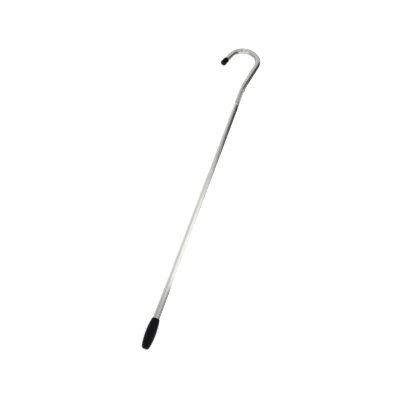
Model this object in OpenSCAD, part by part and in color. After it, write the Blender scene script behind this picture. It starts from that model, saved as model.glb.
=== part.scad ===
// Telescopic golf ball retriever with a bent crook head and a rubber barrel grip.
//
// Millimetres. The shaft lies along +X: x = 0 is the flat butt face of the grip,
// and y = z = 0 is the shaft's axis. The crook lies in the XY plane and its mouth
// opens back towards the grip, on the +Y side. Drawn closed, with the twist lock let off.

/* [Shaft] */
// Outside diameter of the handle tube and of the crook tube
shaft_d = 19; // [18.5:0.1:19.5]
// Wall thickness of the handle tube and of the crook tube
shaft_wall = 1; // [0.8:0.05:1.05]
// Outside diameter of the sliding inner tube
inner_d = 15.2; // [15:0.1:15.3]
// Wall thickness of the sliding inner tube
inner_wall = 1; // [0.8:0.1:1]
// Distance from the butt face to the mouth of the handle tube
mouth_x = 892; // [880:1:1000]
// How far the inner tube pulls out
stroke = 700; // [400:10:700]

/* [Crook] */
// Distance from the mouth to the first bend of the crook tube
head_straight = 67; // [67:1:90]
// Centreline radius of the gentle neck bend
neck_r = 80; // [60:5:150]
// How far the neck leans to the -Y side
neck_angle = 9.75; // [5:0.25:20]
// Straight length of the neck
neck_len = 108.5; // [60:0.5:140]
// Centreline radius of the crook
crook_r = 52; // [45:1:70]
// How far the crook turns back
crook_angle = 171.5; // [150:0.5:185]
// Straight length from the crook to the face of the tip cap
tip_len = 51; // [40:1:70]

/* [Grip] */
// Length of the rubber grip
grip_len = 87; // [80:1:120]
// Largest diameter of the barrel
grip_d = 30; // [27:0.5:32]
// Diameter of the grip where it meets the tube
grip_top_d = 22; // [20.8:0.1:23]
// Diameter of the butt end, before its rim is rounded
grip_butt_d = 20; // [18.5:0.1:23]
// Where the barrel is thickest, from the butt face
swell_x = 46; // [40:1:55]
// Rubber beyond the end of the tube
butt_rubber = 7; // [5:1:10]
// Radius of the rounded butt rim
butt_rim_r = 4; // [2:0.5:5]

/* [Tip cap] */
// Length of the cap over the end of the crook
cap_len = 23.5; // [20:0.5:32]
// Thickness of the cap's side wall
cap_wall = 0.8; // [0.6:0.1:1.5]
// Thickness of the cap's end
cap_end = 2; // [1.5:0.5:4]
// Radius of the cap's rounded rim
cap_rim_r = 3; // [1.5:0.5:4]

/* [Twist lock] */
// Diameter of the lock stud over its thread
stud_d = 5; // [4.5:0.1:5]
// Thread lead, which is how far the cone moves in one turn
lead = 2; // [1.5:0.1:2]
// Half angle of the expander cone
cone_angle = 10; // [8:0.5:10]
// Largest diameter of the expander cone
cone_d = 14; // [13.6:0.1:14]
// Width of the four slits in the expander sleeve
slit_w = 1.6; // [1.4:0.1:2]
// Diameter of the cross pin that holds the lock plug
pin_d = 2.5; // [2:0.1:2.5]
// Radial gap of the running fits
run_gap = 0.05; // [0.04:0.01:0.08]

/* [Hidden] */
$fn = 96;

// A cut runs this far past the faces that it opens
over = 1;
// Gap that keeps faces of different bodies apart where they are not a fit
face_gap = 0.4;
// How far a bend thins the wall on each side, and how far its ends are tucked in
bend_thinning = 0.04;
bend_tuck = 0.5;
// Half a turn about the shaft, which swaps the side that a bend turns to
half_turn = [180, 0, 0];

// Tube radii
shaft_r = shaft_d / 2;
shaft_bore_r = shaft_r - shaft_wall;
inner_r = inner_d / 2;
inner_bore_r = inner_r - inner_wall;

// Mouth bushing, and the end of the crook tube that closes on it
bushing_len = 30;
bushing_flange = 1;
head_x = mouth_x + bushing_flange + face_gap;
bend_x = head_x + head_straight - bushing_flange - face_gap;
head_sleeve_len = 57.6;
head_sleeve_wall = 0.5;
head_sleeve_end_x = head_x + head_sleeve_len;
head_bush_inset = 1;
head_bush_len = 64;
head_bush_x = head_x + head_bush_inset;
inner_tail = 0.5;
inner_end_x = head_bush_x + head_bush_len + inner_tail;

// Blind rivets of the joint: one on the underside, one a quarter turn round on the -Y side
rivet_r = 1.6;
rivet_head_r = 4;
rivet_head_h = 1.6;
rivet_tail_r = 2.4;
rivet_tail_h = 1.3;
rivet_tail_gap = 0.5;
rivet_head_taper = 0.6;
first_rivet = 8;
rivet_pitch = 54.5;
quarter_turn = -90;
first_rivet_x = head_bush_x + first_rivet;
rivet_places = [[first_rivet_x, 0], [first_rivet_x + rivet_pitch, quarter_turn]];

// Lower end of the inner tube, which the lock hangs from
inner_x = 118;
inner_len = inner_end_x - inner_x;
collar_len = 8;
collar_x = mouth_x - bushing_len - stroke - collar_len - face_gap;
collar_gap = 0.3;

// Lock plug and its cross pin
plug_flange = 4;
plug_shank = 24;
flange_chamfer = 0.8;
lead_in_len = 2;
lead_in_drop = 1;
pin_depth = 14;
pin_x = inner_x + pin_depth;
pin_inset = 0.2;

// Lock stud
stud_r = stud_d / 2;
stud_x = 63;
stud_end_x = inner_x + plug_shank - lead_in_len;
thread_depth = 0.4;
thread_start_x = 66;
thread_end_x = 106;
// Where a thread ring leaves the crest, meets the root and returns, in shares of the lead
ring_shares = [0.1, 0.4, 0.6, 0.9];
washer_r = 6.5;
washer_t = 1.3;
thrust_x = inner_x - plug_flange - face_gap - washer_t;
nut_sides = 6;
nut_flats = 8;
nut_t = 4;
nut_x = 64.4;
end_washer_r = 5;
end_washer_t = 1.2;

// Expander cone: a short barrel, then the taper
cone_r = cone_d / 2;
cone_x = 74;
cone_barrel = 6;
cone_taper = 12;
cone_tip_r = cone_r - cone_taper * tan(cone_angle);
cone_chamfer = 0.5;
cone_rest_gap = lead * tan(cone_angle) + run_gap;
insert_r = 4;
insert_len = 14;
key_gap = 0.2;
key_w = slit_w - 2 * key_gap;
key_r = 7.9;

// Expander sleeve around the cone
sleeve_x = cone_x + cone_barrel + lead;
sleeve_end_x = thrust_x - face_gap;
sleeve_r = shaft_bore_r - 2 * run_gap;
sleeve_wall = 4;
sleeve_chamfer = 0.6;
sleeve_lead_in = 1;
taper_end_x = cone_x + cone_barrel + cone_taper + lead;
sleeve_mouth_r = cone_r - lead * tan(cone_angle) + cone_rest_gap;
sleeve_bore_r = cone_tip_r + run_gap;
slit_end_x = 104;
ring_x = 99;
ring_wire_r = 0.7;
ring_wire_sides = 48;
ring_seat_gap = 0.2;
ring_r = shaft_bore_r - run_gap - ring_wire_r;

// Butt plug under the grip
butt_plug_flange = 2;
tube_x = butt_rubber + butt_plug_flange;
butt_plug_len = 20;
butt_plug_bore_r = 6;
butt_plug_floor = 3;

// Barrel curve: two arcs that share a tangent at the thickest point
top_drop = (grip_d - grip_top_d) / 2;
butt_drop = (grip_d - grip_butt_d) / 2;
top_arc_r = arc_radius(grip_len - swell_x, top_drop);
butt_arc_r = arc_radius(swell_x, butt_drop);
lip_r = 0.8;
barrel_sides = 720;

// Radius of an arc that falls by drop over a run from its crown
function arc_radius(run, drop) = (run * run + drop * drop) / (2 * drop);

// Turns shapes built along +Z so that they run along +X
module along_x() {
    rotate([0, 90, 0])
        children();
}

// Solid of revolution about the shaft's axis, from [radius, x] points
module turned(points) {
    along_x()
        rotate_extrude()
            polygon(points);
}

// Straight piece of tube from x to x + len
module tube(x, len, r_out, r_in) {
    translate([x, 0, 0])
        along_x()
            difference() {
                cylinder(h = len, r = r_out);
                translate([0, 0, -over])
                    cylinder(h = len + 2 * over, r = r_in);
            }
}

// Bent piece of tube that starts along +X and turns towards +Y. Bending thins its wall
// a little, and each end is tucked a short way into the straight piece that it meets.
module tube_bend(bend_r, angle, r_out, r_in) {
    tuck_angle = bend_tuck / bend_r * 180 / PI;
    translate([0, bend_r, 0])
        rotate([0, 0, -90 - tuck_angle])
            rotate_extrude(angle = angle + 2 * tuck_angle)
                translate([bend_r, 0])
                    difference() {
                        circle(r = r_out - bend_thinning);
                        circle(r = r_in + bend_thinning);
                    }
}

// Moves to the far end of a bend that turns towards +Y
module after_bend(bend_r, angle) {
    translate([bend_r * sin(angle), bend_r * (1 - cos(angle)), 0])
        rotate([0, 0, angle])
            children();
}

// Moves to the start of the neck, which leans to the -Y side
module at_neck() {
    translate([bend_x, 0, 0])
        rotate(half_turn)
            after_bend(neck_r, neck_angle)
                rotate(half_turn)
                    children();
}

// Moves to the start of the crook
module at_crook() {
    at_neck()
        translate([neck_len, 0, 0])
            children();
}

// Moves to the start of the tip's straight length
module at_tip() {
    at_crook()
        after_bend(crook_r, crook_angle)
            children();
}

// Places shapes built under the shaft's axis at each rivet
module at_rivets() {
    for (place = rivet_places)
        translate([place[0], 0, 0])
            rotate([place[1], 0, 0])
                children();
}

// Rivet holes through one side of the wall
module rivet_holes() {
    at_rivets()
        translate([0, 0, -shaft_r - over])
            cylinder(h = shaft_r, r = rivet_r);
}

// Polished outer tube that the grip is on
module handle_tube() {
    color("silver")
        tube(tube_x, mouth_x - tube_x, shaft_r, shaft_bore_r);
}

// Outline of half of the barrel, with x across and the radius up
module barrel_outline() {
    intersection() {
        translate([swell_x, grip_d / 2 - butt_arc_r])
            circle(r = butt_arc_r, $fn = barrel_sides);
        union() {
            square([swell_x, butt_start_r()]);
            translate([butt_rim_r, 0])
                square([swell_x - butt_rim_r, grip_d]);
            translate([butt_rim_r, butt_start_r()])
                circle(r = butt_rim_r);
        }
        square([swell_x, grip_d]);
    }
    intersection() {
        translate([swell_x, grip_d / 2 - top_arc_r])
            circle(r = top_arc_r, $fn = barrel_sides);
        translate([swell_x, 0])
            union() {
                square([grip_len - swell_x - lip_r, grip_d]);
                square([grip_len - swell_x, grip_top_d / 2 - lip_r]);
                translate([grip_len - swell_x - lip_r, grip_top_d / 2 - lip_r])
                    circle(r = lip_r);
            }
    }
}

// Radius at which the rounded butt rim begins
function butt_start_r() = grip_butt_d / 2 - butt_rim_r;

// Moulded rubber barrel grip with a closed butt
module grip() {
    color([0.08, 0.08, 0.09])
        difference() {
            along_x()
                rotate_extrude()
                    rotate(90)
                        mirror([0, 1, 0])
                            barrel_outline();
            translate([butt_rubber, 0, 0])
                along_x()
                    cylinder(h = grip_len, r = shaft_r);
        }
}

// Nylon plug that closes the tube and backs the rubber
module butt_plug() {
    plug_end_x = tube_x + butt_plug_len;
    color("dimgray")
        turned([
            [0, butt_rubber],
            [shaft_r, butt_rubber],
            [shaft_r, tube_x],
            [shaft_bore_r, tube_x],
            [shaft_bore_r, plug_end_x - lead_in_len],
            [shaft_bore_r - lead_in_drop, plug_end_x],
            [butt_plug_bore_r, plug_end_x],
            [butt_plug_bore_r, tube_x + butt_plug_floor],
            [0, tube_x + butt_plug_floor]
        ]);
}

// Flanged nylon bushing that the inner tube slides in
module mouth_bushing() {
    bore_r = inner_r + run_gap;
    flange_end_x = mouth_x + bushing_flange;
    color("gray")
        turned([
            [bore_r, mouth_x - bushing_len],
            [shaft_bore_r, mouth_x - bushing_len],
            [shaft_bore_r, mouth_x],
            [shaft_r, mouth_x],
            [shaft_r, flange_end_x],
            [bore_r, flange_end_x]
        ]);
}

// Bent outer tube of the head: swaged lower end, neck bend, neck, crook and tip
module crook_tube() {
    color("silver")
        difference() {
            union() {
                turned([
                    [shaft_bore_r, head_x],
                    [shaft_r - head_sleeve_wall, head_x],
                    [shaft_r - head_sleeve_wall, head_sleeve_end_x],
                    [shaft_r, head_sleeve_end_x],
                    [shaft_r, bend_x],
                    [shaft_bore_r, bend_x]
                ]);
                translate([bend_x, 0, 0])
                    rotate(half_turn)
                        tube_bend(neck_r, neck_angle, shaft_r, shaft_bore_r);
                at_neck()
                    tube(0, neck_len, shaft_r, shaft_bore_r);
                at_crook()
                    tube_bend(crook_r, crook_angle, shaft_r, shaft_bore_r);
                at_tip()
                    tube(0, tip_len - cap_end, shaft_r, shaft_bore_r);
            }
            rivet_holes();
        }
}

// Push-on vinyl cap over the end of the crook
module tip_cap() {
    cap_r = shaft_r + cap_wall;
    cap_x = tip_len - cap_len;
    color([0.05, 0.05, 0.05])
        at_tip()
            translate([cap_x, 0, 0])
                along_x()
                    rotate_extrude()
                        difference() {
                            union() {
                                square([cap_r, cap_len - cap_rim_r]);
                                square([cap_r - cap_rim_r, cap_len]);
                                translate([cap_r - cap_rim_r, cap_len - cap_rim_r])
                                    intersection() {
                                        circle(r = cap_rim_r);
                                        square(cap_rim_r);
                                    }
                            }
                            translate([0, -over])
                                square([shaft_r, cap_len - cap_end + over]);
                        }
}

// Satin sleeve over the swaged lower end of the crook tube
module head_sleeve() {
    color("gainsboro")
        difference() {
            tube(head_x, head_sleeve_len, shaft_r, shaft_r - head_sleeve_wall);
            rivet_holes();
        }
}

// Bush that packs the inner tube out to the bore of the crook tube
module head_bush() {
    color("gainsboro")
        difference() {
            tube(head_bush_x, head_bush_len, shaft_bore_r, inner_r);
            rivet_holes();
        }
}

// Two blind rivets through the crook tube, the bush and the inner tube
module head_rivets() {
    color([0.1, 0.1, 0.1])
        at_rivets() {
            translate([0, 0, -shaft_r])
                cylinder(h = shaft_r - inner_bore_r + rivet_tail_gap, r = rivet_r);
            translate([0, 0, -shaft_r - rivet_head_h])
                cylinder(
                    h = rivet_head_h,
                    r1 = rivet_head_r - rivet_head_taper,
                    r2 = rivet_head_r
                );
            translate([0, 0, -inner_bore_r + rivet_tail_gap])
                cylinder(h = rivet_tail_h, r = rivet_tail_r);
        }
}

// Sliding inner tube, cross-drilled for the plug pin and the rivets
module inner_tube() {
    color("lightsteelblue")
        difference() {
            tube(inner_x, inner_len, inner_r, inner_bore_r);
            rivet_holes();
            pin_hole();
        }
}

// Swaged ring that meets the mouth bushing at full reach
module stop_collar() {
    color("darkgray")
        tube(collar_x, collar_len, shaft_bore_r - collar_gap, inner_r);
}

// Cross hole for the plug pin
module pin_hole() {
    translate([pin_x, inner_r + over, 0])
        rotate([90, 0, 0])
            cylinder(h = inner_d + 2 * over, r = pin_d / 2);
}

// Nylon plug in the lower end of the inner tube
module lock_plug() {
    flange_x = inner_x - plug_flange;
    shank_end_x = inner_x + plug_shank;
    color("ivory")
        difference() {
            turned([
                [0, flange_x],
                [inner_r - flange_chamfer, flange_x],
                [inner_r, flange_x + flange_chamfer],
                [inner_r, inner_x],
                [inner_bore_r, inner_x],
                [inner_bore_r, shank_end_x - lead_in_len],
                [inner_bore_r - lead_in_drop, shank_end_x],
                [0, shank_end_x]
            ]);
            translate([flange_x - over, 0, 0])
                along_x()
                    cylinder(h = stud_end_x - flange_x + over, r = stud_r);
            pin_hole();
        }
}

// Steel cross pin through the inner tube, the plug and the stud
module plug_pin() {
    color("slategray")
        translate([pin_x, inner_r - pin_inset, 0])
            rotate([90, 0, 0])
                cylinder(h = inner_d - 2 * pin_inset, r = pin_d / 2);
}

// Steel stud with a coarse thread drawn as rings one lead apart
module lock_stud() {
    rings = floor((thread_end_x - thread_start_x) / lead);
    root_r = stud_r - thread_depth;
    color("lightslategray")
        difference() {
            turned(concat(
                [[0, stud_x], [root_r, stud_x], [stud_r, stud_x + thread_depth]],
                [
                    for (i = [0 : rings - 1], k = [0 : 3])
                        [
                            k == 0 || k == 3 ? stud_r : root_r,
                            thread_start_x + (i + ring_shares[k]) * lead
                        ]
                ],
                [[stud_r, stud_end_x], [0, stud_end_x]]
            ));
            pin_hole();
        }
}

// Thrust washer between the plug and the sleeve
module thrust_washer() {
    color("gainsboro")
        tube(thrust_x, washer_t, washer_r, stud_r);
}

// Washer that stops the cone when it is wound back
module end_washer() {
    color("gainsboro")
        tube(nut_x + nut_t, end_washer_t, end_washer_r, stud_r);
}

// Hexagon nut on the end of the stud
module end_nut() {
    color("darkgray")
        translate([nut_x, 0, 0])
            along_x()
                difference() {
                    cylinder(h = nut_t, r = nut_flats / 2 / cos(180 / nut_sides), $fn = nut_sides);
                    translate([0, 0, -over])
                        cylinder(h = nut_t + 2 * over, r = stud_r);
                }
}

// Nylon sleeve with four slits that the cone spreads against the tube
module expander_sleeve() {
    color("orange")
        difference() {
            turned([
                [sleeve_mouth_r, sleeve_x],
                [sleeve_r - sleeve_chamfer, sleeve_x],
                [sleeve_r, sleeve_x + sleeve_lead_in],
                [sleeve_r, ring_x - ring_wire_r - ring_seat_gap],
                [ring_r - ring_wire_r, ring_x - ring_wire_r - ring_seat_gap],
                [ring_r - ring_wire_r, ring_x + ring_wire_r + ring_seat_gap],
                [sleeve_r, ring_x + ring_wire_r + ring_seat_gap],
                [sleeve_r, sleeve_end_x - sleeve_chamfer],
                [sleeve_r - sleeve_chamfer, sleeve_end_x],
                [stud_r + run_gap, sleeve_end_x],
                [stud_r + run_gap, sleeve_end_x - sleeve_wall],
                [sleeve_bore_r, sleeve_end_x - sleeve_wall],
                [sleeve_bore_r, taper_end_x]
            ]);
            for (turn = [0, 90])
                rotate([turn, 0, 0])
                    translate([sleeve_x - over, -slit_w / 2, -shaft_r])
                        cube([slit_end_x - sleeve_x + over, slit_w, shaft_d]);
        }
}

// Rubber ring that drags on the tube while the lock is turned
module drag_ring() {
    color([0.1, 0.1, 0.1])
        translate([ring_x, 0, 0])
            along_x()
                rotate_extrude()
                    translate([ring_r, 0])
                        circle(r = ring_wire_r, $fn = ring_wire_sides);
}

// Nylon cone with two keys that slide in the sleeve's slits
module expander_cone() {
    taper_x = cone_x + cone_barrel;
    color("tomato")
        difference() {
            union() {
                turned([
                    [0, cone_x],
                    [cone_r - cone_chamfer, cone_x],
                    [cone_r, cone_x + cone_chamfer],
                    [cone_r, taper_x],
                    [cone_tip_r, taper_x + cone_taper],
                    [0, taper_x + cone_taper]
                ]);
                translate([taper_x, -key_r, -key_w / 2])
                    cube([cone_taper, 2 * key_r, key_w]);
            }
            translate([cone_x - over, 0, 0])
                along_x()
                    cylinder(h = cone_barrel + cone_taper + 2 * over, r = insert_r);
        }
}

// Brass thread insert moulded into the cone
module thread_insert() {
    gap = (cone_barrel + cone_taper - insert_len) / 2;
    color("goldenrod")
        tube(cone_x + gap, insert_len, insert_r, stud_r + run_gap);
}

handle_tube();
grip();
butt_plug();
mouth_bushing();
crook_tube();
tip_cap();
head_sleeve();
head_bush();
head_rivets();
inner_tube();
stop_collar();
lock_plug();
plug_pin();
lock_stud();
thrust_washer();
end_washer();
end_nut();
expander_sleeve();
drag_ring();
expander_cone();
thread_insert();
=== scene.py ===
"""Looks of the telescopic retriever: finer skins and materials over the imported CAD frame."""

import math

import bmesh
import bpy
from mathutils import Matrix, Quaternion, Vector


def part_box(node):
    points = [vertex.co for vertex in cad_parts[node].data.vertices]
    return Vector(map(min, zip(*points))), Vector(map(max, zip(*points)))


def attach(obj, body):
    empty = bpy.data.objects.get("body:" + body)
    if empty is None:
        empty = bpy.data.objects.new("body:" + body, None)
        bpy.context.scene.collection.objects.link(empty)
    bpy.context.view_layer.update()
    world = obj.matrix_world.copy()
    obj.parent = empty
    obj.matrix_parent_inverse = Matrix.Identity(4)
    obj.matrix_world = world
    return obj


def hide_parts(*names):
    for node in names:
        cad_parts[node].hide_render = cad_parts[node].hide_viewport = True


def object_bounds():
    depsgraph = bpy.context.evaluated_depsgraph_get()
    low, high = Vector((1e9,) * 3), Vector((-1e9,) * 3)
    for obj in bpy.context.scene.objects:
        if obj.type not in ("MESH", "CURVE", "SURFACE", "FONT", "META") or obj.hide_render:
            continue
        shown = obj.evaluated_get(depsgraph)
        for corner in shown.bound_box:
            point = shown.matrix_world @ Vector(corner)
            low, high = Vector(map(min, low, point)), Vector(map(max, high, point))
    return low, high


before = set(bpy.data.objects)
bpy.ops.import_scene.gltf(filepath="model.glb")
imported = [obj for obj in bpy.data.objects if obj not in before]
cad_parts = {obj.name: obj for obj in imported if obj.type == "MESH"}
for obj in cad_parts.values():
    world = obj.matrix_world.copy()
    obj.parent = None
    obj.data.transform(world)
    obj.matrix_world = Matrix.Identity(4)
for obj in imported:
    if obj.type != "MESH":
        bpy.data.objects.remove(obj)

CAD_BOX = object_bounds()
MM = 0.001

# The camera, found by fitting the tube's centreline to the photograph
CAMERA_AT = Vector((-0.4669, -0.2841, 1.6199))
CAMERA_AIM = Vector((0.4893, 0.0014, 0.0))
CAMERA_ROLL = math.radians(1.23)
LENS_MM = 55.87
SENSOR_MM = 36.0

# Tube sizes that the boxes of the CAD nodes don't give
TUBE_WALL = 1.0 * MM
TUBE_EDGE = 0.25 * MM
SLEEVE_WALL = 0.5 * MM
CAP_WALL = 0.8 * MM
NECK_R = 80 * MM
NECK_ANGLE = math.radians(9.75)
NECK_LEN = 108.5 * MM
CROOK_R = 52 * MM
CROOK_ANGLE = math.radians(171.5)
TIP_TUBE_LEN = 49 * MM
BEND_X = 959 * MM

# Faces round a skin and round a rivet, steps in a small rounded corner, the radius under which
# a ring is a single point, and the angle from which an edge is sharp
AROUND = 96
RIVET_AROUND = 48
CORNER = 3
ON_AXIS = 1e-7
SHARP = math.radians(35)


def smooth(low, high, t):
    """0 below low, 1 above high, and an S-shaped rise between."""
    t = max(0.0, min(1.0, (t - low) / (high - low)))
    return t * t * (3 - 2 * t)


def blend(a, b, t):
    return a + (b - a) * t


# ---------------------------------------------------------------- materials


class Shader:
    """A procedural material, built node by node round one Principled shader."""

    def __init__(self, name, **sockets):
        self.mat = bpy.data.materials.new(name)
        self.mat.use_nodes = True
        self.tree = self.mat.node_tree
        self.tree.nodes.clear()
        self.bsdf = self.tree.nodes.new("ShaderNodeBsdfPrincipled")
        out = self.tree.nodes.new("ShaderNodeOutputMaterial")
        self.link(self.bsdf.outputs["BSDF"], out.inputs["Surface"])
        for socket, value in sockets.items():
            self.bsdf.inputs[socket.replace("_", " ")].default_value = value
        self.normal = None

    def link(self, a, b):
        self.tree.links.new(a, b)

    def coords(self, scale, skin=False):
        """Object coordinates, or the skin's own around and along coordinates, times scale."""
        source = self.tree.nodes.new("ShaderNodeUVMap" if skin else "ShaderNodeTexCoord")
        if skin:
            source.uv_map = "skin"
        mapping = self.tree.nodes.new("ShaderNodeMapping")
        mapping.inputs["Scale"].default_value = scale
        self.link(source.outputs["UV" if skin else "Object"], mapping.inputs["Vector"])
        return mapping.outputs["Vector"]

    def noise(self, scale, detail=3.0, rough=0.55, skin=False, distortion=0.0):
        node = self.tree.nodes.new("ShaderNodeTexNoise")
        node.inputs["Scale"].default_value = 1.0
        node.inputs["Detail"].default_value = detail
        node.inputs["Roughness"].default_value = rough
        node.inputs["Distortion"].default_value = distortion
        self.link(self.coords(scale, skin), node.inputs["Vector"])
        return node.outputs["Fac"]

    def cells(self, scale):
        node = self.tree.nodes.new("ShaderNodeTexVoronoi")
        node.inputs["Scale"].default_value = 1.0
        self.link(self.coords(scale), node.inputs["Vector"])
        return node.outputs["Distance"]

    def ramp(self, fac, stops):
        node = self.tree.nodes.new("ShaderNodeValToRGB")
        ramp = node.color_ramp
        while len(ramp.elements) < len(stops):
            ramp.elements.new(0.5)
        for element, (at, value) in zip(ramp.elements, stops):
            element.position = at
            element.color = (*value, 1)
        self.link(fac, node.inputs["Fac"])
        return node.outputs["Color"]

    def mix(self, fac, a, b, kind="MIX"):
        node = self.tree.nodes.new("ShaderNodeMix")
        node.data_type = "RGBA"
        node.blend_type = kind
        for value, socket in ((fac, node.inputs[0]), (a, node.inputs[6]), (b, node.inputs[7])):
            if hasattr(value, "node"):
                self.link(value, socket)
            else:
                socket.default_value = value
        return node.outputs[2]

    def colour(self, output):
        self.link(output, self.bsdf.inputs["Base Color"])

    def roughness(self, output):
        self.link(output, self.bsdf.inputs["Roughness"])

    def bump(self, height, depth, strength=1.0):
        node = self.tree.nodes.new("ShaderNodeBump")
        node.inputs["Strength"].default_value = strength
        node.inputs["Distance"].default_value = depth
        self.link(height, node.inputs["Height"])
        if self.normal is not None:
            self.link(self.normal, node.inputs["Normal"])
        self.normal = node.outputs["Normal"]
        self.link(self.normal, self.bsdf.inputs["Normal"])


def grey(v):
    return (v, v, v)


def polished_tube():
    """Buffed bright aluminium: draw lines along the tube, hazy buffing and a few scuffs."""
    s = Shader("polished_aluminium", Metallic=1.0, IOR=1.45)
    haze = s.noise((38, 38, 38), detail=4)
    lines = s.noise((2600, 26, 1), detail=2, skin=True)
    scuffs = s.noise((900, 120, 1), detail=5, rough=0.7, skin=True, distortion=0.6)
    tone = s.ramp(haze, [(0.3, (0.80, 0.80, 0.785)), (0.7, (0.88, 0.88, 0.865))])
    worn = s.ramp(scuffs, [(0.62, grey(0)), (0.72, grey(0.6))])
    s.colour(s.mix(worn, tone, (0.70, 0.70, 0.69, 1)))
    buffed = s.ramp(haze, [(0.3, grey(0.07)), (0.7, grey(0.13))])
    drawn = s.ramp(lines, [(0.4, grey(0.0)), (0.75, grey(0.06))])
    gloss = s.mix(1.0, buffed, drawn, "ADD")
    s.roughness(s.mix(worn, gloss, grey(0.3) + (1,)))
    s.bump(lines, 0.004 * MM, 0.25)
    s.bump(scuffs, 0.01 * MM, 0.15)
    return s.mat


def satin_alloy(name, base, skin):
    """Plain drawn aluminium, with fine lines along its length."""
    s = Shader(name, Metallic=1.0, IOR=1.45)
    lines = s.noise((3200, 18, 1) if skin else (18, 3200, 3200), detail=3, skin=skin)
    blotch = s.noise((60, 60, 60), detail=5, rough=0.65)
    dark = tuple(c * 0.86 for c in base)
    s.colour(s.mix(s.ramp(lines, [(0.3, grey(0)), (0.7, grey(1))]), (*dark, 1), (*base, 1)))
    s.roughness(s.ramp(blotch, [(0.3, grey(0.22)), (0.7, grey(0.34))]))
    s.bump(lines, 0.006 * MM, 0.5)
    return s.mat


def grip_rubber():
    """Moulded black rubber: fine leathery grain, a little dust and shinier rubbed patches."""
    s = Shader("moulded_rubber", IOR=1.5)
    s.bsdf.inputs["Specular IOR Level"].default_value = 0.07
    grain = s.cells((1700, 1700, 1700))
    fine = s.noise((4200, 4200, 4200), detail=3)
    wear = s.noise((55, 90, 90), detail=4, rough=0.6)
    dust = s.noise((420, 420, 420), detail=6, rough=0.75)
    tone = s.ramp(wear, [(0.35, (0.0030, 0.0030, 0.0042)), (0.7, (0.0068, 0.0068, 0.0090))])
    specks = s.ramp(dust, [(0.60, grey(0)), (0.78, grey(0.35))])
    s.colour(s.mix(specks, tone, (0.03, 0.03, 0.03, 1)))
    s.roughness(s.ramp(wear, [(0.3, grey(0.60)), (0.75, grey(0.44))]))
    s.bump(s.ramp(grain, [(0.0, grey(0)), (0.55, grey(1))]), 0.10 * MM, 0.55)
    s.bump(fine, 0.03 * MM, 0.4)
    return s.mat


def cap_vinyl():
    """Dip-moulded black vinyl: glossy, with orange peel and faint scuffs."""
    s = Shader("dipped_vinyl", IOR=1.5)
    s.bsdf.inputs["Specular IOR Level"].default_value = 0.05
    peel = s.noise((900, 900, 900), detail=1)
    scuff = s.noise((500, 1500, 500), detail=6, rough=0.75)
    s.colour(s.ramp(scuff, [(0.5, (0.003, 0.003, 0.0035)), (0.8, (0.018, 0.018, 0.018))]))
    s.roughness(s.ramp(scuff, [(0.4, grey(0.28)), (0.75, grey(0.52))]))
    s.bump(peel, 0.03 * MM, 0.5)
    return s.mat


def nylon(name, low, high, rough):
    """Moulded nylon with flow marks and a fine matt skin."""
    s = Shader(name, IOR=1.53)
    flow = s.noise((60, 220, 220), detail=4, distortion=1.2)
    skin = s.noise((2400, 2400, 2400), detail=3)
    s.bsdf.inputs["Subsurface Weight"].default_value = 0.05
    s.bsdf.inputs["Subsurface Radius"].default_value = (0.002, 0.0018, 0.0014)
    s.colour(s.ramp(flow, [(0.3, low), (0.7, high)]))
    s.roughness(s.ramp(skin, [(0.3, grey(rough - 0.08)), (0.7, grey(rough + 0.08))]))
    s.bump(skin, 0.02 * MM, 0.5)
    return s.mat


def plated_steel():
    """Zinc-plated steel: bluish spangle, turned rings and small dull pits."""
    s = Shader("plated_steel", Metallic=1.0, IOR=1.45)
    spangle = s.cells((650, 650, 650))
    rings = s.noise((5200, 60, 60), detail=2)
    pits = s.noise((1500, 1500, 1500), detail=5, rough=0.8)
    tone = s.ramp(spangle, [(0.1, (0.56, 0.57, 0.60)), (0.6, (0.66, 0.66, 0.67))])
    s.colour(s.mix(s.ramp(pits, [(0.62, grey(0)), (0.74, grey(1))]), tone, (0.3, 0.3, 0.31, 1)))
    s.roughness(s.ramp(pits, [(0.35, grey(0.24)), (0.7, grey(0.46))]))
    s.bump(rings, 0.008 * MM, 0.5)
    return s.mat


def black_oxide():
    """Blackened steel: blue-black, with rubbed spots where the bright metal shows."""
    s = Shader("black_oxide", Metallic=1.0, IOR=1.45)
    patches = s.noise((900, 900, 900), detail=5, rough=0.7)
    grain = s.noise((3000, 3000, 3000), detail=2)
    s.colour(s.ramp(patches, [(0.45, (0.045, 0.045, 0.052)), (0.78, (0.14, 0.14, 0.14))]))
    s.roughness(s.ramp(patches, [(0.35, grey(0.36)), (0.7, grey(0.5))]))
    s.bump(grain, 0.01 * MM, 0.4)
    return s.mat


def turned_brass():
    """Brass from the lathe: fine rings and a slight tarnish."""
    s = Shader("turned_brass", Metallic=1.0, IOR=1.45)
    rings = s.noise((6000, 40, 40), detail=2)
    tarnish = s.noise((240, 240, 240), detail=5, rough=0.7)
    s.colour(s.ramp(tarnish, [(0.3, (0.56, 0.40, 0.15)), (0.7, (0.82, 0.64, 0.30))]))
    s.roughness(s.ramp(tarnish, [(0.3, grey(0.38)), (0.7, grey(0.22))]))
    s.bump(rings, 0.01 * MM, 0.6)
    return s.mat


def ring_rubber():
    """Black nitrile ring with a matt bloom."""
    s = Shader("nitrile_ring", IOR=1.5)
    bloom = s.noise((700, 700, 700), detail=5)
    s.colour(s.ramp(bloom, [(0.4, (0.010, 0.010, 0.011)), (0.75, (0.035, 0.034, 0.033))]))
    s.roughness(s.ramp(bloom, [(0.3, grey(0.45)), (0.7, grey(0.68))]))
    s.bump(bloom, 0.02 * MM, 0.4)
    return s.mat


# ---------------------------------------------------------------- skins


def arc(centre, radius, start, end, steps=5):
    """Profile points on a quarter or less of a circle, as (along, radius) pairs, in degrees."""
    points = []
    for i in range(steps + 1):
        a = math.radians(start + (end - start) * i / steps)
        points.append((centre[0] + radius * math.cos(a), centre[1] + radius * math.sin(a)))
    return points


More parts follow.
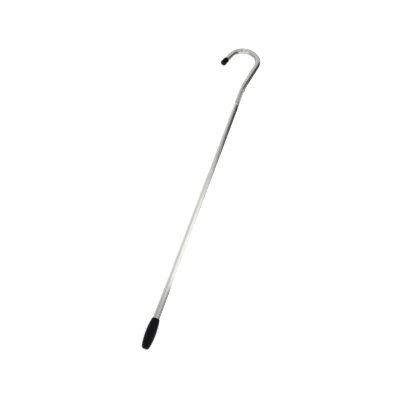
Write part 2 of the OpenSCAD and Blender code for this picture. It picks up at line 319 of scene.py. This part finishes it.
def line(a, b, steps):
    """Profile points from a to b, without b."""
    return [
        (a[0] + (b[0] - a[0]) * i / steps, a[1] + (b[1] - a[1]) * i / steps) for i in range(steps)
    ]


def skin(name, profile, place, mat, closed, shape=None):
    """A surface of rings: profile holds (along, radius) pairs, place(along) gives a ring's
    centre and its two cross directions, and shape(along, radius, angle) may change a radius."""
    verts, faces, rings, uvs = [], [], [], []
    for along, radius in profile:
        centre, side, up = place(along)
        if radius < ON_AXIS:
            rings.append([len(verts)])
            verts.append(centre)
            continue
        ring = []
        for k in range(AROUND):
            a = 2 * math.pi * k / AROUND
            r = shape(along, radius, a) if shape else radius
            ring.append(len(verts))
            verts.append(centre + side * (r * math.cos(a)) + up * (r * math.sin(a)))
        rings.append(ring)
    girth = 2 * math.pi * max(r for _, r in profile)
    travelled = [0.0]
    for a, b in zip(profile, profile[1:] + profile[:1]):
        travelled.append(travelled[-1] + math.hypot(b[0] - a[0], b[1] - a[1]))
    count = len(rings) if closed else len(rings) - 1
    for i in range(count):
        a, b = rings[i], rings[(i + 1) % len(rings)]
        v0, v1 = travelled[i], travelled[i + 1]
        for k in range(AROUND):
            n = (k + 1) % AROUND
            u0, u1 = girth * k / AROUND, girth * (k + 1) / AROUND
            if len(a) == 1:
                faces.append((a[0], b[n], b[k]))
                uvs.append(((u0, v0), (u1, v1), (u0, v1)))
            elif len(b) == 1:
                faces.append((a[k], a[n], b[0]))
                uvs.append(((u0, v0), (u1, v0), (u0, v1)))
            else:
                faces.append((a[k], a[n], b[n], b[k]))
                uvs.append(((u0, v0), (u1, v0), (u1, v1), (u0, v1)))
    return finish_mesh(name, verts, faces, mat, uvs)


def finish_mesh(name, verts, faces, mat, uvs=None):
    """Makes an object with outward faces, smooth shading and sharp corners."""
    mesh = bpy.data.meshes.new(name)
    mesh.from_pydata([tuple(v) for v in verts], [], faces)
    if uvs:
        layer = mesh.uv_layers.new(name="skin")
        flat = [uv for face in uvs for uv in face]
        for loop, uv in zip(layer.data, flat):
            loop.uv = uv
    mesh.validate()
    bm = bmesh.new()
    bm.from_mesh(mesh)
    bmesh.ops.recalc_face_normals(bm, faces=bm.faces)
    bm.to_mesh(mesh)
    bm.free()
    mesh.shade_smooth()
    mesh.set_sharp_from_angle(angle=SHARP)
    mesh.materials.append(mat)
    obj = bpy.data.objects.new(name, mesh)
    bpy.context.scene.collection.objects.link(obj)
    return obj


def along_shaft(x):
    """Placement of a ring on the shaft's axis."""
    return Vector((x, 0, 0)), Vector((0, 1, 0)), Vector((0, 0, 1))


def crook_line(head_x):
    """Placement along the crook tube, from its lower end, and its whole length."""
    legs = [
        ("straight", BEND_X - head_x, 0),
        ("bend", NECK_R * NECK_ANGLE, -1 / NECK_R),
        ("straight", NECK_LEN, 0),
        ("bend", CROOK_R * CROOK_ANGLE, 1 / CROOK_R),
        ("straight", TIP_TUBE_LEN, 0),
    ]

    def place(s):
        at, heading, left = Vector((head_x, 0, 0)), 0.0, s
        for i, (kind, length, curve) in enumerate(legs):
            run = left if i == len(legs) - 1 else min(left, length)
            if kind == "straight":
                at = at + Vector((math.cos(heading), math.sin(heading), 0)) * run
            else:
                turn = run * curve
                r = 1 / curve
                at = at + Vector(
                    (
                        r * (math.sin(heading + turn) - math.sin(heading)),
                        r * (math.cos(heading) - math.cos(heading + turn)),
                        0,
                    )
                )
                heading += turn
            left -= run
            if left <= 0 and i < len(legs) - 1:
                break
        side = Vector((-math.sin(heading), math.cos(heading), 0))
        return at, side, Vector((0, 0, 1))

    stations = []
    start = 0.0
    for kind, length, _ in legs:
        step = 15 * MM if kind == "straight" else 1.2 * MM
        count = max(2, round(length / step))
        stations += [start + length * i / count for i in range(count)]
        start += length
    stations.append(start)
    return place, stations, start


def bore_profile(start, end, inside, r, edge):
    """Bore of a tube from its far end back to its start, with both corners rounded."""
    return (
        arc((end - edge, r + edge), edge, 0, -90, CORNER)
        + [(s, r) for s in reversed(inside)]
        + arc((start + edge, r + edge), edge, -90, -180, CORNER)
    )


def make_handle_tube(mat):
    """Straight tube with both ends deburred."""
    low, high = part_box("handle_tube")
    r, start, end, edge, steps = high.y, low.x, high.x, TUBE_EDGE, 60
    stations = [start + (end - start) * i / steps for i in range(steps + 1)]
    inside = [s for s in stations if start + 2 * edge < s < end - 2 * edge]
    profile = (
        arc((start + edge, r - edge), edge, 180, 90, CORNER)
        + [(s, r) for s in inside]
        + arc((end - edge, r - edge), edge, 90, 0, CORNER)
        + bore_profile(start, end, inside, r - TUBE_WALL, edge)
    )
    tube = skin("handle_tube_skin", profile, along_shaft, mat, closed=True)
    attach(tube, "handle")
    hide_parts("handle_tube")


def make_crook_tube(mat):
    """Bent tube: its lower end is swaged thinner, and the satin sleeve hides that part."""
    head_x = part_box("crook_tube")[0].x
    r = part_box("handle_tube")[1].y
    place, stations, end = crook_line(head_x)
    edge = TUBE_EDGE
    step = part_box("head_sleeve")[1].x - head_x
    low_r, bore_r = r - SLEEVE_WALL, r - TUBE_WALL
    inside = [s for s in stations if 2 * edge < s < end - 2 * edge]
    profile = (
        arc((edge, low_r - edge), edge, 180, 90, CORNER)
        + [(s, low_r) for s in inside if s < step - edge]
        + [(step, low_r)]
        + arc((step + edge, r - edge), edge, 180, 90, CORNER)
        + [(s, r) for s in inside if s > step + 2 * edge]
        + arc((end - edge, r - edge), edge, 90, 0, CORNER)
        + bore_profile(0.0, end, inside, bore_r, edge)
    )
    tube = skin("crook_tube_skin", profile, place, mat, closed=True)
    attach(tube, "crook_section")
    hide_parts("crook_tube")


def make_head_sleeve(mat):
    """Satin sleeve with rolled ends and a turned groove beside each."""
    low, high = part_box("head_sleeve")
    r, edge = high.y, 0.2 * MM
    inset, top_half, floor_half, depth = 3 * MM, 0.5 * MM, 0.3 * MM, 0.15 * MM
    outer = arc((low.x + edge, r - edge), edge, 180, 90, CORNER)
    for centre in (low.x + inset, high.x - inset):
        outer += [
            (centre - top_half, r),
            (centre - floor_half, r - depth),
            (centre + floor_half, r - depth),
            (centre + top_half, r),
        ]
    outer += arc((high.x - edge, r - edge), edge, 90, 0, CORNER)
    bore = bore_profile(low.x, high.x, [], r - SLEEVE_WALL, edge)
    sleeve = skin("head_sleeve_skin", outer + bore, along_shaft, mat, closed=True)
    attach(sleeve, "crook_section")
    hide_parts("head_sleeve")


def make_tip_cap(mat):
    """Dipped cap: a rolled lip, a slightly waisted wall and a dished end with a drip nib."""
    head_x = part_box("crook_tube")[0].x
    tube_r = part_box("handle_tube")[1].y
    place, _, end = crook_line(head_x)
    cap_r = tube_r + CAP_WALL
    length, end_t, rim = 23.5 * MM, 2.0 * MM, 3.0 * MM
    face = end + end_t
    mouth = face - length
    lip, lip_len, waist = 0.4 * MM, 2.4 * MM, 0.14 * MM
    wall = []
    steps = 24
    for i in range(steps + 1):
        t = i / steps
        s = mouth + lip_len + (length - rim - lip_len) * t
        wall.append((s, cap_r - waist * math.sin(math.pi * t)))
    profile = (
        [(end, 0.0), (end, tube_r * 0.5), (end, tube_r - 0.1 * MM), (end - 0.1 * MM, tube_r)]
        + line((end - 1 * MM, tube_r), (mouth + lip, tube_r), 6)
        + arc((mouth + lip, tube_r + lip), lip, -90, -270, 8)
        + [(mouth + 1.3 * MM, cap_r), (mouth + 1.8 * MM, cap_r - 0.12 * MM)]
        + wall
        + arc((face - rim, cap_r - rim), rim, 90, 4, 12)
        + [
            (face - 0.05 * MM, cap_r - rim - 0.8 * MM),
            (face - 0.30 * MM, cap_r - rim - 2.2 * MM),
            (face - 0.36 * MM, 1.6 * MM),
            (face - 0.30 * MM, 1.3 * MM),
            (face - 0.06 * MM, 0.9 * MM),
            (face, 0.4 * MM),
            (face, 0.0),
        ]
    )
    cap = skin("tip_cap_skin", profile, place, mat, closed=False)
    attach(cap, "crook_section")
    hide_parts("tip_cap")


def make_grip(mat):
    """Barrel grip: ten shallow flutes, a groove near each end and a rounded butt with a vent."""
    low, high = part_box("grip")
    tube_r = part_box("handle_tube")[1].y
    length, max_r = high.x - low.x, high.y
    swell, top_r, butt_r = 46 * MM, 11 * MM, 10 * MM
    bore_x, rim, lip = 7 * MM, 4 * MM, 0.8 * MM
    flutes, flute_depth, flute_sharpness = 10, 0.45 * MM, 1.6
    flute_start, flute_end, flute_fade = 12 * MM, 76 * MM, 9 * MM
    groove_depth, outer_steps = 0.35 * MM, 110

    def arc_r(run, drop):
        return (run * run + drop * drop) / (2 * drop)

    butt_arc = arc_r(swell, max_r - butt_r)
    top_arc = arc_r(length - swell, max_r - top_r)

    def barrel(x):
        big = butt_arc if x < swell else top_arc
        return max_r - big + math.sqrt(big * big - (x - swell) ** 2)

    def radius_at(x):
        """Barrel with its butt rim and its top edge rounded."""
        r = barrel(x)
        if x < rim:
            r = min(r, butt_r - rim + math.sqrt(max(0, rim * rim - (rim - x) ** 2)))
        if x > length - lip:
            inset = x - (length - lip)
            r = min(r, top_r - lip + math.sqrt(max(0, lip * lip - inset * inset)))
        return r

    def groove(x, centre, half_width):
        t = (x - centre) / half_width
        return groove_depth * max(0.0, 1 - t * t) ** 2

    def shape(along, radius, angle):
        if radius < tube_r + 0.2 * MM:
            return radius
        from_end = min(along - flute_start, flute_end - along)
        wave = 0.5 + 0.5 * math.cos(flutes * angle)
        return radius - flute_depth * smooth(0, flute_fade, from_end) * wave**flute_sharpness

    outer = []
    for i in range(outer_steps + 1):
        x = length * (1 - math.cos(math.pi * i / outer_steps)) / 2
        cut = groove(x, 80.5 * MM, 0.7 * MM) + groove(x, 8.0 * MM, 0.8 * MM)
        outer.append((x, radius_at(x) - cut))
    butt_flat = outer[0][1]
    dish = [
        (1.9 * MM, 0.0),
        (1.9 * MM, 0.9 * MM),
        (0.6 * MM, 1.0 * MM),
        (0.45 * MM, 1.3 * MM),
        (0.45 * MM, butt_flat - 1.6 * MM),
        (0.1 * MM, butt_flat - 1.0 * MM),
        (0.0, butt_flat - 0.6 * MM),
    ]
    bore = [
        (length, tube_r + 0.25 * MM),
        (length - 0.25 * MM, tube_r),
        (length * 0.6, tube_r),
        (length * 0.3, tube_r),
        (bore_x + 0.05 * MM, tube_r),
        (bore_x, tube_r - 0.05 * MM),
        (bore_x, tube_r * 0.5),
        (bore_x, 0.0),
    ]
    grip = skin("grip_skin", dish + outer + bore, along_shaft, mat, closed=False, shape=shape)
    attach(grip, "handle")
    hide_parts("grip")


def make_rivets(mat):
    """Blind rivets, one below and one on the -Y side: domed heads bedded on the round tube,
    with the pulled pin inside."""
    low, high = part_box("head_rivets")
    tube_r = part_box("handle_tube")[1].y
    head_r, shank_r, tail_r, bedding = 4.0 * MM, 1.6 * MM, 2.4 * MM, 0.02 * MM
    # Radius and height above the tube of each ring of the head, from the pin outwards
    head = [
        (0.0, 1.20),
        (0.55, 1.20),
        (0.74, 1.12),
        (0.84, 0.80),
        (1.00, 0.80),
        (1.12, 1.52),
        (1.40, 1.59),
        (2.00, 1.54),
        (2.60, 1.38),
        (3.20, 1.02),
        (3.70, 0.50),
        (3.93, 0.22),
        (4.00, 0.05),
    ]
    tail_top = -4.8 * MM
    tail_low = tail_top - 1.3 * MM
    # Radius and height of each ring of the shank and the tail inside the tube
    tail = [
        (shank_r, tail_low),
        (tail_r - 0.2 * MM, tail_low),
        (tail_r, tail_low + 0.2 * MM),
        (tail_r, tail_top - 0.3 * MM),
        (tail_r - 0.3 * MM, tail_top),
        (0.0, tail_top),
    ]
    verts, faces = [], []

    def bed(y):
        """Height of the tube's underside at y across it."""
        return -math.sqrt(tube_r**2 - y * y)

    for x, on_side in ((low.x + head_r, False), (high.x - head_r, True)):
        rings = []

        def add(radius, height):
            ring = []
            for k in range(1 if radius < ON_AXIS else RIVET_AROUND):
                a = 2 * math.pi * k / RIVET_AROUND
                dx, y = radius * math.cos(a), radius * math.sin(a)
                ring.append(len(verts))
                z = height(y)
                verts.append(Vector((x + dx, z, -y) if on_side else (x + dx, y, z)))
            rings.append(ring)

        for radius, rise in head:
            add(radius * MM, lambda y, h=rise * MM: bed(y) - h)
        add(shank_r, lambda y: bed(y) + bedding)
        for radius, z in tail:
            add(radius, lambda y, z=z: z)
        for a, b in zip(rings, rings[1:]):
            for k in range(RIVET_AROUND):
                n = (k + 1) % RIVET_AROUND
                if len(a) == 1:
                    faces.append((a[0], b[k], b[n]))
                elif len(b) == 1:
                    faces.append((a[n], a[k], b[0]))
                else:
                    faces.append((a[n], a[k], b[k], b[n]))
    rivets = finish_mesh("head_rivets_skin", verts, faces, mat)
    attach(rivets, "crook_section")
    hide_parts("head_rivets")


# ---------------------------------------------------------------- the object

MATERIALS = {
    "tube": polished_tube(),
    "inner": satin_alloy("drawn_aluminium", (0.76, 0.77, 0.78), skin=False),
    "rivet": black_oxide(),
    "sleeve": satin_alloy("satin_aluminium", (0.78, 0.78, 0.77), skin=True),
    "rubber": grip_rubber(),
    "vinyl": cap_vinyl(),
    "dark_nylon": nylon("dark_nylon", (0.018, 0.018, 0.020), (0.035, 0.035, 0.038), 0.5),
    "light_nylon": nylon("natural_nylon", (0.62, 0.59, 0.50), (0.76, 0.73, 0.64), 0.45),
    "steel": plated_steel(),
    "brass": turned_brass(),
    "ring": ring_rubber(),
}

CAD_MATERIALS = {
    "butt_plug": "dark_nylon",
    "mouth_bushing": "dark_nylon",
    "head_sleeve": "sleeve",
    "head_bush": "inner",
    "inner_tube": "inner",
    "stop_collar": "inner",
    "lock_plug": "light_nylon",
    "plug_pin": "steel",
    "lock_stud": "steel",
    "thrust_washer": "steel",
    "end_washer": "steel",
    "end_nut": "steel",
    "expander_sleeve": "light_nylon",
    "drag_ring": "ring",
    "expander_cone": "dark_nylon",
    "thread_insert": "brass",
    "handle_tube": "tube",
    "crook_tube": "tube",
    "grip": "rubber",
    "tip_cap": "vinyl",
    "head_rivets": "rivet",
}

for node_name, key in CAD_MATERIALS.items():
    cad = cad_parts[node_name]
    cad.data.materials.clear()
    cad.data.materials.append(MATERIALS[key])

make_handle_tube(MATERIALS["tube"])
make_crook_tube(MATERIALS["tube"])
make_head_sleeve(MATERIALS["sleeve"])
make_tip_cap(MATERIALS["vinyl"])
make_grip(MATERIALS["rubber"])
make_rivets(MATERIALS["rivet"])


# ---------------------------------------------------------------- stage

FLOOR_Z = CAD_BOX[0].z - 0.2 * MM
FLOOR_HALF = 9.0
CARD_Z = FLOOR_Z + 1 * MM
TENT_R = 0.9
TENT_X = (0.2, 2.3)
RIGHT_FLOOR_X = (0.08, 1.7)

# Stretches of the shaft, as x in metres, over which the light beside it changes: dimmer near the
# grip, a grey flag there on the -Y side, dark on that side towards the head, grey overhead, and
# turned round where the neck leans
NEAR_GRIP = (0.09, 0.24)
GRIP_FLAG = (0.165, 0.20)
SIDE_DARKENS = (0.34, 0.84)
FLOOR_DARKENS = (0.34, 0.76)
CROWN_DARKENS = (0.36, 0.82)
NECK_STARTS = (0.94, 1.0)
NECK_TURN = 22


def stage_plane(name, corners, mat):
    mesh = bpy.data.meshes.new(name)
    mesh.from_pydata([tuple(c) for c in corners], [], [(0, 1, 2, 3)])
    mesh.materials.append(mat)
    obj = bpy.data.objects.new(name, mesh)
    bpy.context.scene.collection.objects.link(obj)


def floor_material():
    """Matt white paper that is lit a little from below, as on a light table."""
    s = Shader("white_sweep")
    s.bsdf.inputs["Specular IOR Level"].default_value = 0.0
    s.bsdf.inputs["Emission Color"].default_value = (1, 1, 1, 1)
    s.bsdf.inputs["Emission Strength"].default_value = 0.50
    mottle = s.noise((3, 3, 3), detail=3)
    s.colour(s.ramp(mottle, [(0.3, grey(0.84)), (0.7, grey(0.88))]))
    s.roughness(s.ramp(mottle, [(0.3, grey(0.88)), (0.7, grey(0.94))]))
    return s.mat


def glow_material():
    """What every flag and reflector shows: the brightness kept on its mesh."""
    mat = bpy.data.materials.new("card_glow")
    mat.use_nodes = True
    nodes = mat.node_tree.nodes
    nodes.clear()
    value = nodes.new("ShaderNodeAttribute")
    value.attribute_name = "glow"
    glow = nodes.new("ShaderNodeEmission")
    glow.inputs["Strength"].default_value = 1.0
    out = nodes.new("ShaderNodeOutputMaterial")
    mat.node_tree.links.new(value.outputs["Color"], glow.inputs["Color"])
    mat.node_tree.links.new(glow.outputs["Emission"], out.inputs["Surface"])
    return mat


CARD_GLOW = glow_material()


def card(name, point, value, cells):
    """A flag or reflector beside the object, which only reflections see. point(u, v) gives
    its place, value(x, y, z) its brightness and cells its columns and rows."""
    verts, faces, glows = [], [], []
    across, up = cells
    for j in range(up + 1):
        for i in range(across + 1):
            p = point(i / across, j / up)
            verts.append(p)
            v = value(*p)
            glows += [v, v, v * 0.985, 1.0]
    for j in range(up):
        for i in range(across):
            k = j * (across + 1) + i
            faces.append((k, k + 1, k + across + 2, k + across + 1))
    mesh = bpy.data.meshes.new(name)
    mesh.from_pydata(verts, [], faces)
    layer = mesh.attributes.new("glow", "FLOAT_COLOR", "POINT")
    layer.data.foreach_set("color", glows)
    mesh.materials.append(CARD_GLOW)
    obj = bpy.data.objects.new(name, mesh)
    bpy.context.scene.collection.objects.link(obj)
    obj.visible_camera = False
    obj.visible_diffuse = False
    obj.visible_shadow = False
    obj.visible_transmission = False


stage_plane(
    "floor",
    [
        (-FLOOR_HALF, -FLOOR_HALF, FLOOR_Z),
        (FLOOR_HALF, -FLOOR_HALF, FLOOR_Z),
        (FLOOR_HALF, FLOOR_HALF, FLOOR_Z),
        (-FLOOR_HALF, FLOOR_HALF, FLOOR_Z),
    ],
    floor_material(),
)


def station(x, y, z):
    """The place along the shaft where the camera sees the point (x, y, z) reflected."""
    away = math.hypot(y, z) / math.hypot(CAMERA_AT.y, CAMERA_AT.z)
    return (x + CAMERA_AT.x * away) / (1 + away)


def tent(x, y, z):
    """White beside the shaft and greyer above it; towards the head the -Y side turns dark,
    and everything is dimmer beside the grip."""
    at, turn = station(x, y, z), math.degrees(math.atan2(z, y))
    neck = smooth(*NECK_STARTS, at)
    lean = NECK_TURN * neck
    left = blend(1.04, blend(0.62, 0.72, neck), smooth(-25, 68, turn - lean))
    crown = blend(0.92, blend(0.42, 0.50, neck), smooth(*CROWN_DARKENS, at))
    right = blend(1.10, 0.05, smooth(*SIDE_DARKENS, at))
    value = blend(left, crown, smooth(66, 96, turn - lean))
    value = blend(value, right, smooth(105 + 0.4 * lean, 141, turn))
    value *= blend(0.60, 1.0, smooth(*NEAR_GRIP, at))
    grip_side = blend(0.36, 1.0, smooth(*GRIP_FLAG, at))
    return value * blend(1.0, grip_side, smooth(120, 165, turn))


def tent_point(u, v):
    """On a half cylinder over the object, a little past level on both sides."""
    turn = math.radians(blend(-0.5, 180.5, v))
    return blend(*TENT_X, u), TENT_R * math.cos(turn), TENT_R * math.sin(turn)


card("tent", tent_point, tent, (260, 72))


def neck_edge(x):
    """Where the floor card ends, just inside the tube's right side."""
    lean = math.tan(NECK_ANGLE)
    return -0.004 - lean * max(0.0, min(x, 1.085) - (BEND_X + 0.02))


def joint(at):
    """1 beside the satin sleeve of the joint, 0 elsewhere."""
    return smooth(0.886, 0.893, at) * (1 - smooth(0.948, 0.955, at))


def right_floor(x, y, z):
    at = station(x, y, z)
    near_grip = blend(0.34, 1.0, smooth(0.17, 0.195, at))
    value = blend(near_grip, 0.03, smooth(*FLOOR_DARKENS, at))
    return blend(value, 0.60, joint(at))


def right_floor_point(u, v):
    x = blend(*RIGHT_FLOOR_X, u)
    return x, blend(-TENT_R, neck_edge(x), v**0.35), CARD_Z


card("right_floor", right_floor_point, right_floor, (260, 40))
card(
    "left_floor",
    lambda u, v: (blend(0.08, 0.6, u), blend(0.006, 0.5, v * v), CARD_Z),
    lambda x, y, z: blend(0.6, 1.02, smooth(0.09, 0.27, station(x, y, z))),
    (60, 12),
)

# Light grey beside the satin sleeve
card(
    "joint_side",
    lambda u, v: (blend(0.931, 0.994, u), -0.05, blend(CARD_Z, 0.06, v)),
    lambda x, y, z: blend(0.62, 0.22, smooth(0.0, 0.05, z)),
    (4, 12),
)


# Grey cards for the crook: under it, and two across its bowl
def crook_floor_point(u, v):
    y = blend(0.004, 0.082, v)
    return blend(blend(1.115, 1.09, smooth(0.03, 0.045, y)), 1.145, u), y, CARD_Z


card("crook_floor", crook_floor_point, lambda x, y, z: 0.46, (4, 20))
card(
    "crook_front",
    lambda u, v: (blend(1.05, 1.17, u), 0.044, blend(0.011, 0.25, v)),
    lambda x, y, z: 0.66 - 0.22 * smooth(1.10, 1.122, x) + 0.22 * smooth(1.128, 1.145, x),
    (24, 4),
)
card(
    "crook_back",
    lambda u, v: (
        blend(blend(1.075, 1.045, smooth(0.2, 0.4, v)), 1.118, u),
        0.052,
        blend(CARD_Z + 1 * MM, 0.25, v * v),
    ),
    lambda x, y, z: blend(0.55, 0.10, smooth(-0.012, 0.006, z)),
    (4, 40),
)

# Mid-grey walls past the head and behind the grip
card(
    "front_wall",
    lambda u, v: (1.5, blend(-0.25, 0.4, u), blend(0.0, 0.5, v)),
    lambda x, y, z: 0.50,
    (4, 4),
)
card(
    "back_wall",
    lambda u, v: (-1.2, blend(-2.0, 2.0, u), blend(0.0, 2.2, v)),
    lambda x, y, z: 0.45,
    (4, 4),
)


def softbox(name, at, aim, size, power):
    """A rectangular light that reflections don't show."""
    light = bpy.data.lights.new(name, "AREA")
    light.shape = "RECTANGLE"
    light.size, light.size_y = size
    light.energy = power
    obj = bpy.data.objects.new(name, light)
    obj.location = at
    obj.rotation_mode = "QUATERNION"
    obj.rotation_quaternion = (Vector(aim) - Vector(at)).to_track_quat("-Z", "Y")
    obj.visible_glossy = False
    bpy.context.scene.collection.objects.link(obj)


softbox("key", (0.6, -1.2, 1.9), (0.5, 0.0, 0.0), (1.2, 0.8), 16.0)
softbox("fill", (0.2, 1.8, 1.2), (0.5, 0.0, 0.0), (1.4, 0.8), 10.0)

# A dome that is white at the horizon and light grey overhead
world = bpy.data.worlds.new("dome")
bpy.context.scene.world = world
world.use_nodes = True
sky = world.node_tree
sky.nodes.clear()
where = sky.nodes.new("ShaderNodeTexCoord")
split = sky.nodes.new("ShaderNodeSeparateXYZ")
fade = sky.nodes.new("ShaderNodeValToRGB")
back = sky.nodes.new("ShaderNodeBackground")
sky_out = sky.nodes.new("ShaderNodeOutputWorld")
fade.color_ramp.elements[0].position = 0.0
fade.color_ramp.elements[0].color = (1.0, 1.0, 1.0, 1)
fade.color_ramp.elements[1].position = 1.0
fade.color_ramp.elements[1].color = (0.50, 0.50, 0.49, 1)
sky.links.new(where.outputs["Generated"], split.inputs["Vector"])
sky.links.new(split.outputs["Z"], fade.inputs["Fac"])
sky.links.new(fade.outputs["Color"], back.inputs["Color"])
sky.links.new(back.outputs["Background"], sky_out.inputs["Surface"])
back.inputs["Strength"].default_value = 1.0

bpy.context.scene.view_settings.view_transform = "Standard"

camera_data = bpy.data.cameras.new("camera")
camera_data.sensor_width = SENSOR_MM
camera_data.lens = LENS_MM
camera_data.clip_end = 50
camera = bpy.data.objects.new("camera", camera_data)
camera.location = CAMERA_AT
camera.rotation_mode = "QUATERNION"
level = (CAMERA_AIM - CAMERA_AT).to_track_quat("-Z", "Y")
camera.rotation_quaternion = level @ Quaternion((0, 0, 1), CAMERA_ROLL)
bpy.context.scene.collection.objects.link(camera)
bpy.context.scene.camera = camera
